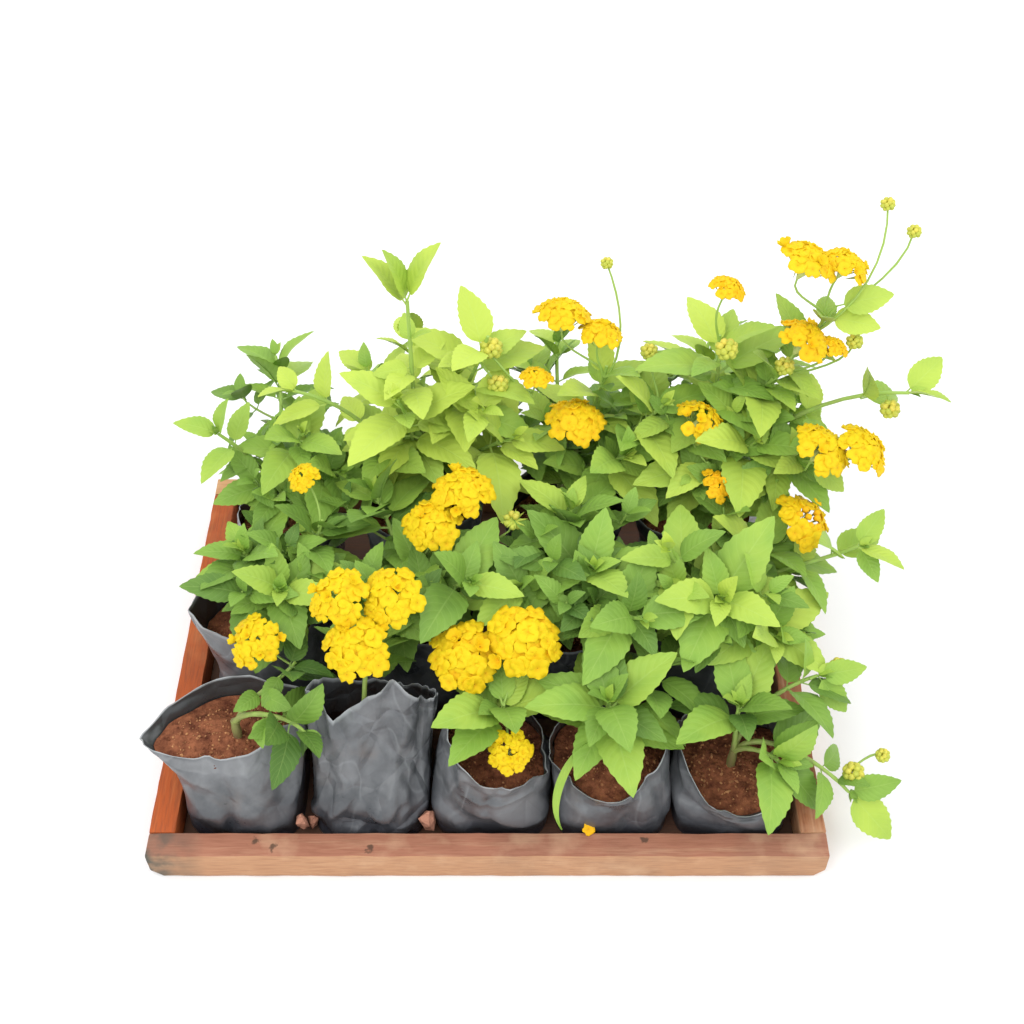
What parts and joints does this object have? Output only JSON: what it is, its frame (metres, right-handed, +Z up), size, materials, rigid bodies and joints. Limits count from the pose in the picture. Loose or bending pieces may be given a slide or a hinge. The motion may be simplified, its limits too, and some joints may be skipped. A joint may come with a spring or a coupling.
{
  "type": "lantana",
  "caption": "Yellow-flowered lantana plants in black film nursery bags, standing together in a shallow wooden tray.",
  "frame": {"origin": "middle of the tray's underside, where it rests on the ground", "axes": "+X along the tray's long side, towards the taller right-hand plants; -Y towards the side the plants are shown from; +Z up"},
  "size_m": [0.498, 0.3605, 0.3004],
  "materials": {
    "wood": "rough-sawn softwood, reddish-brown and weathered",
    "film": "thin black polythene film, crumpled, with a soft sheen",
    "soil": "loose red-brown coco-peat soil, matt",
    "leaf": "living leaf, softly matt",
    "petal": "living petal, satin"
  },
  "bodies": {
    "root": {"tray_floor": "wood", "tray_front_rail": "wood", "tray_back_rail": "wood", "tray_left_rail": "wood", "tray_right_rail": "wood", "bag_front_1": "film", "bag_front_2": "film", "bag_front_3": "film", "bag_front_4": "film", "bag_front_5": "film", "bag_middle_1": "film", "bag_middle_2": "film", "bag_middle_3": "film", "bag_middle_4": "film", "bag_back_1": "film", "bag_back_2": "film", "bag_back_3": "film", "bag_back_4": "film", "soil_front_1": "soil", "soil_front_2": "soil", "soil_front_3": "soil", "soil_front_4": "soil", "soil_front_5": "soil", "soil_middle_1": "soil", "soil_middle_2": "soil", "soil_middle_3": "soil", "soil_middle_4": "soil", "soil_back_1": "soil", "soil_back_2": "soil", "soil_back_3": "soil", "soil_back_4": "soil", "bloom_front_left": "petal", "bloom_front_trio": "petal", "bloom_front_pair": "petal", "bloom_front_small": "petal", "bloom_middle_left": "petal", "bloom_middle_pair": "petal", "bloom_middle_right": "petal", "bloom_back_small": "petal", "bloom_back_pair": "petal", "bloom_back_centre": "petal", "bloom_back_peach": "petal", "bloom_right_orange": "petal", "bloom_right_top": "petal", "bloom_right_pair": "petal", "bloom_right_centre": "petal", "bloom_right_low": "petal", "plant_front_1": "leaf", "plant_front_2": "leaf", "plant_front_3": "leaf", "plant_front_4": "leaf", "plant_front_5": "leaf", "plant_middle_1": "leaf", "plant_middle_2": "leaf", "plant_middle_3": "leaf", "plant_middle_4": "leaf", "plant_back_1": "leaf", "plant_back_2": "leaf", "plant_back_3": "leaf", "plant_back_4": "leaf"}
  },
  "joints": []
}
